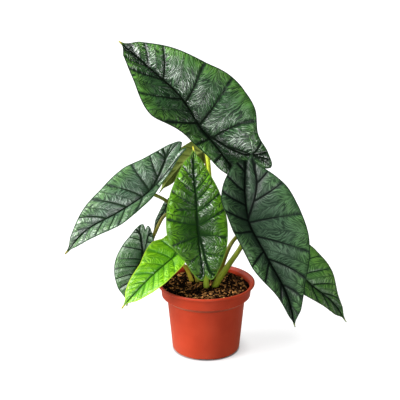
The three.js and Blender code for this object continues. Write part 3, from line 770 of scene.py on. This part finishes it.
def waxy_blade(name):
    tones = BLADE_TONES[name]
    tone = {key: (*value, 1) for key, value in tones.items() if isinstance(value, tuple)}
    leaf_length = (Vector(LEAVES[name]["tip"]) - Vector(LEAVES[name]["joint"])).length
    paint = Paint(f"{name} leaf blade", IOR=1.1, Coat_IOR=2.4, Coat_Roughness=tones["gloss"])
    rib, vein, reach = [paint.number(key) for key in ("rib_mm", "vein_mm", "reach_mm")]
    hair, edge, tip = [paint.number(key) for key in ("hair_mm", "edge_mm", "tip_mm")]
    underside = paint.number("underside")
    cloud = paint.grain(12, detail=3.0)
    speck = paint.grain(1.3, detail=4.0)
    nearest = paint.calc("MINIMUM", vein, paint.times(rib, 0.6))
    ridge = comb(paint, vein, reach, nearest)

    lit = paint.times(paint.ramp(edge, *BRIGHT_MARGIN), paint.ramp(cloud, 0.3, 0.65, 0.35, 1))
    lit = paint.times(lit, paint.ramp(tip, 0.85 * leaf_length, 1.5 * leaf_length, 1.0, 0.3))
    colour = paint.blend(lit, tone["web"], tone["bright"])
    shade = paint.calc("MINIMUM", vein, paint.times(rib, RIB_SHADE))
    shade = paint.calc("ADD", shade, paint.ramp(cloud, 0.3, 0.7, -1.2, 1.2))
    colour = paint.blend(paint.ramp(shade, tones["halo"], 0.3), colour, tone["deep"])

    faint = paint.ramp(cloud, 0.35, 0.6, 0.55, 1.0)
    # Painted light: the crests between the creases are painted paler, as if lit.
    lit_crest = paint.times(paint.ramp(ridge, *CREST_WIDTH), paint.times(faint, CREST_SHARE))
    colour = paint.blend(lit_crest, colour, shaded(tone["web"], CREST_LIGHT_TONE))
    heart = paint.ramp(paint.number("heart_mm"), tones["heart"], 3)
    colour = paint.blend(paint.times(heart, HEART_SHADE), colour, tone["deep"])
    crease = paint.times(paint.ramp(ridge, *CREASE_WIDTH), paint.ramp(nearest, 0.5, 1.8))
    crease = paint.times(crease, faint)
    crease = paint.calc("MAXIMUM", crease, paint.ramp(hair, *HAIR_WIDTH, 0.0, 0.8))
    colour = paint.blend(paint.times(crease, CREASE_SHARE), colour, tone["deep"])

    taper = paint.ramp(reach, 5, 55, -0.35, 0.5)
    bold = tones["bold"]
    line = paint.ramp(paint.calc("ADD", vein, taper), 1.15 * bold, 0.45 * bold)
    line = paint.times(line, paint.ramp(tip, 0.2 * leaf_length, 0.42 * leaf_length, 0.3, 1.0))
    colour = paint.blend(line, colour, tone["vein"])
    keel = paint.ramp(rib, *KEEL_WIDTH)
    colour = paint.blend(keel, colour, shaded(tone["vein"], 0.6))
    line = paint.calc("MAXIMUM", line, keel)
    colour = paint.blend(paint.ramp(edge, *MARGIN_WIDTH), colour, tone["margin"])
    colour = paint.blend(paint.ramp(tip, *TIP_LENGTH), colour, tone["tip"])

    below = paint.blend(paint.ramp(cloud, 0.3, 0.7), tone["below"], shaded(tone["below"], 0.8))
    nerve = paint.calc("MAXIMUM", line, paint.times(crease, 0.4))
    below = paint.blend(paint.times(nerve, 0.85), below, shaded(tone["below"], 0.4))
    colour = paint.blend(underside, colour, below)

    worn = paint.calc("MAXIMUM", line, paint.ramp(edge, 1.9, 1.1))
    worn = paint.calc("MAXIMUM", worn, paint.times(crease, 0.8))
    worn = paint.calc("MAXIMUM", worn, paint.times(underside, 0.9))
    wax = paint.times(paint.calc("SUBTRACT", 1.0, worn), tones["wax"])
    wax = paint.times(wax, paint.ramp(speck, 0.3, 0.6, 0.45, 1.0))
    wax = paint.times(wax, paint.ramp(rib, 42, 5, 0.2, 1.0))
    wax = paint.times(wax, paint.calc("SUBTRACT", 1.0, paint.times(heart, HEART_DULLNESS)))
    paint.tree.links.new(wax, paint.shader.inputs["Coat Weight"])
    skin = paint.relief(paint.ramp(ridge, 0.0, 0.14), tones["comb"])
    skin = paint.relief(speck, 0.05, strength=0.4, under=skin)
    paint.tree.links.new(skin, paint.shader.inputs["Coat Normal"])
    return paint.finish(colour, paint.ramp(speck, 0.25, 0.75, 0.4, 0.55), skin)


def shares(count):
    """Even shares from nought to one."""
    return [i / count for i in range(count + 1)]


def vein_lines(blade):
    """Points along the ribs, the side veins with their distance from the rib, the finer veins
    midway between them, and the margin."""
    ribs = [blade.point(0, JUNCTION * share) for share in shares(500)]
    branches, hairs = [], []
    for way, side in ((-1, "left"), (1, "right")):
        veins = blade.veins(side)
        for share in shares(400):
            u, v = blade.rib_place(side, share)
            ribs.append(blade.point(way * u, v))
        pairs = zip(veins["side"], veins["side"][1:])
        midway = [((a + c) / 2, (b + d) / 2) for (a, b), (c, d) in pairs]
        routes = [((0.0, inner), (1.0, outer)) for inner, outer in veins["side"]]
        routes += [(blade.rib_place(side, share), (1.0, outer)) for share, outer in veins["lobe"]]
        fine = [((0.0, inner), (1.0, outer)) for inner, outer in midway]
        for target, paths in ((branches, routes), (hairs, fine)):
            for (u0, v0), (u1, v1) in paths:
                length, last = 0.0, None
                for t in shares(240):
                    here = blade.point(way * (u0 + (u1 - u0) * t), v0 + (v1 - v0) * t)
                    length += (here - last).length if last else 0.0
                    target.append((here, length))
                    last = here
    margin = [blade.point(way, share) for way in (-1, 1) for share in shares(700)]
    margin += [blade.point(2 * share - 1, 1) for share in shares(200)]
    return ribs, branches, hairs, margin


def nearest_tree(points):
    tree = KDTree(len(points))
    for i, point in enumerate(points):
        tree.insert(point, i)
    tree.balance()
    return tree


def half_thickness(edge_far):
    """Half the blade's thickness, which thins out to the margin."""
    thinness = MARGIN_THINNESS + (1 - MARGIN_THINNESS) * min(1, edge_far / THINNING_WIDTH)
    return BLADE_THICKNESS / 2 * thinness


def leaf_blade(name):
    leaf, blade = LEAVES[name], Blade(name)
    ribs, branches, hairs, margin = vein_lines(blade)
    rib_tree, edge_tree = nearest_tree(ribs), nearest_tree(margin)
    branch_tree = nearest_tree([point for point, _ in branches])
    hair_tree = nearest_tree([point for point, _ in hairs])
    tip, heart = blade.point(0, 0), blade.point(0, JUNCTION)
    axis = (tip - heart).normalized()
    mesh = bmesh.new()
    keys = (
        "rib_mm", "vein_mm", "reach_mm", "hair_mm", "edge_mm", "tip_mm", "heart_mm", "underside",
        "below_mm",
    )
    layer = {key: mesh.verts.layers.float.new(key) for key in keys}
    upward = mesh.verts.layers.float_vector.new("upward")
    columns, rows = leaf["grid"]
    bmesh.ops.create_grid(mesh, x_segments=columns, y_segments=rows, size=1)
    for vert in mesh.verts:
        v = round((vert.co.y + 1) / 2 * rows) / rows
        u = 0.0
        if abs(vert.co.x) > 1e-6:
            u = math.copysign(abs(vert.co.x) ** COLUMN_SPREAD, vert.co.x)
        point = blade.point(u, v)
        _, branch, vein_far = branch_tree.find(point)
        rib_far, edge_far = rib_tree.find(point)[2], edge_tree.find(point)[2]
        vert[layer["rib_mm"]] = rib_far
        vert[layer["vein_mm"]] = vein_far
        vert[layer["reach_mm"]] = branches[branch][1]
        vert[layer["hair_mm"]] = hair_tree.find(point)[2]
        vert[layer["edge_mm"]] = edge_far
        vert[layer["tip_mm"]] = (point - tip).length
        vert[layer["heart_mm"]] = (point - heart).length
        midrib_far = abs(u) * 2 * leaf["right"][2]
        midrib = RIB_THICKNESS * math.exp(-((midrib_far / RIB_WIDTH) ** 2))
        vert[layer["below_mm"]] = midrib * min(1, v / RIB_FADE)
        clear = min(vein_far, rib_far) / QUILT_REACH
        puffed = QUILT * (1 - math.exp(-(clear ** 1.5))) * min(1, edge_far / QUILT_REACH)
        flare = min(max(((tip - point).dot(axis) - DRIP_TIP) / DRIP_FLARE, 0), 1)
        slim = (1 - DRIP_SLIM) * (1 - flare ** 2 * (3 - 2 * flare))
        vert.co = point + blade.face * puffed - blade.side * slim * (point - tip).dot(blade.side)
    mesh.normal_update()
    for vert in mesh.verts:
        vert[upward] = -vert.normal
    lower = mesh.verts[:]
    grown = bmesh.ops.extrude_face_region(mesh, geom=mesh.faces[:], use_keep_orig=True)
    upper = [item for item in grown["geom"] if isinstance(item, bmesh.types.BMVert)]
    for vert in lower:
        vert[layer["underside"]] = 1.0
        near = min(vert[layer["vein_mm"]], vert[layer["rib_mm"]])
        ridge = max(vert[layer["below_mm"]], NERVE_HEIGHT * math.exp(-(near ** 2)))
        vert.co -= vert[upward] * (half_thickness(vert[layer["edge_mm"]]) + ridge)
    for vert in upper:
        near = min(vert[layer["vein_mm"]], vert[layer["rib_mm"]] / RIB_GROOVE)
        groove = VEIN_SINK * math.exp(-(near ** 2)) * min(1, vert[layer["edge_mm"]] / 3)
        vert.co += vert[upward] * (half_thickness(vert[layer["edge_mm"]]) - groove)
    mesh.verts.layers.float_vector.remove(upward)
    mesh.verts.layers.float.remove(layer["below_mm"])
    bmesh.ops.recalc_face_normals(mesh, faces=mesh.faces)
    bmesh.ops.scale(mesh, vec=(MM, MM, MM), verts=mesh.verts)
    piece = new_piece(f"leaf_{name}", mesh, waxy_blade(name), sharp=75)
    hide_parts(f"blade_{name}")


for name in LEAVES:
    leaf_blade(name)

# Studio: a white table that glows to the camera alone, its glow dimmed by a painted shadow under
# and around the pot, in a white room. Daylight comes from the left; softboxes stand in front, a
# bright one before a large one, with a small one on the right, and others left, behind left and
# low on the right.
FLOOR_SIZE = 16
TABLE_TONES = [(0.32, 0.32, 0.32, 1), (0.34, 0.34, 0.34, 1)]
TABLE_UNSEEN = (0.13, 0.13, 0.13, 1)
TABLE_GLOW = 0.8
PAINTED_POT_SHADOW = [(40.5, 43, 0.05), (34, 60, 0.6)]
ROOM = 0.04
PLANT_MIDDLE = Vector((0, 0, 0.2))
DAYLIGHT = (-0.78, -0.2, 0.6)
DAYLIGHT_WIDTH = 55
DAYLIGHT_POWER = 7.8
CAMERA_PLACE = (0, -1.188, 0.5721)
CAMERA_TILT = 17.703
CAMERA_TURN = 0.363
LENS = 93.37
SENSOR = 36
SOFTBOXES = [
    ("front", (0.18, -2.4, 0.4), (1.4, 0.75), 21),
    ("core", (0.25, -1.9, 0.3), (0.5, 0.4), 8),
    ("side", (0.95, -1.7, 0.35), (0.4, 0.4), 2.5),
    ("left", (-2.0, -0.8, 0.15), (0.9, 0.9), 19),
    ("back_left", (-1.5, 1.5, 1.2), (1.0, 1.0), 9),
    ("low_right", (1.9, 0.75, 0.2), (0.7, 0.7), 15),
]


def lit_table():
    paint = Paint("lit white table", Roughness=0.8, Emission_Color=(1, 1, 1, 1))
    patch = paint.grain(400, detail=1.0)
    seen = paint.lay("LightPath", {}, output=0)
    tone = paint.blend(paint.ramp(patch, 0.3, 0.7), *TABLE_TONES)
    tone = paint.blend(seen, TABLE_UNSEEN, tone)
    away = paint.lay("VectorMath", {0: paint.place}, output=1, operation="LENGTH")
    glow = paint.times(seen, TABLE_GLOW)
    # Painted shadow: the glow is dimmed under and around the pot.
    for inner, outer, share in PAINTED_POT_SHADOW:
        glow = paint.times(glow, paint.ramp(away, inner * MM, outer * MM, share, 1.0))
    paint.tree.links.new(glow, paint.shader.inputs["Emission Strength"])
    return paint.finish(tone)


mesh = bmesh.new()
bmesh.ops.create_grid(mesh, x_segments=2, y_segments=2, size=FLOOR_SIZE / 2)
floor = new_piece("floor", mesh, lit_table())

room = bpy.data.worlds.new("white room")
room.use_nodes = True
backdrop = room.node_tree.nodes["Background"]
backdrop.inputs["Color"].default_value = (1, 1, 1, 1)
seen = room.node_tree.nodes.new("ShaderNodeLightPath")
strength = room.node_tree.nodes.new("ShaderNodeMapRange")
strength.inputs["To Min"].default_value = ROOM
room.node_tree.links.new(seen.outputs["Is Camera Ray"], strength.inputs["Value"])
room.node_tree.links.new(strength.outputs["Result"], backdrop.inputs["Strength"])
bpy.context.scene.world = room


def lamp(name, light, place):
    """A light at a place, turned towards the middle of the plant."""
    holder = bpy.data.objects.new(name, light)
    holder.location = place
    holder.rotation_euler = (PLANT_MIDDLE - Vector(place)).to_track_quat("-Z", "Y").to_euler()
    bpy.context.scene.collection.objects.link(holder)


daylight = bpy.data.lights.new("daylight", "SUN")
daylight.angle = math.radians(DAYLIGHT_WIDTH)
daylight.energy = DAYLIGHT_POWER
lamp("daylight", daylight, Vector(DAYLIGHT) * 3)
for name, place, (width, height), power in SOFTBOXES:
    softbox = bpy.data.lights.new(name, "AREA")
    softbox.shape = "RECTANGLE"
    softbox.size, softbox.size_y = width, height
    softbox.energy = power
    lamp(name, softbox, place)

lens = bpy.data.cameras.new("camera")
lens.lens = LENS
lens.sensor_width = SENSOR
camera = bpy.data.objects.new("camera", lens)
camera.location = CAMERA_PLACE
camera.rotation_euler = (math.radians(90 - CAMERA_TILT), 0, math.radians(CAMERA_TURN))
bpy.context.scene.collection.objects.link(camera)
bpy.context.scene.camera = camera
bpy.context.scene.view_settings.view_transform = "Standard"
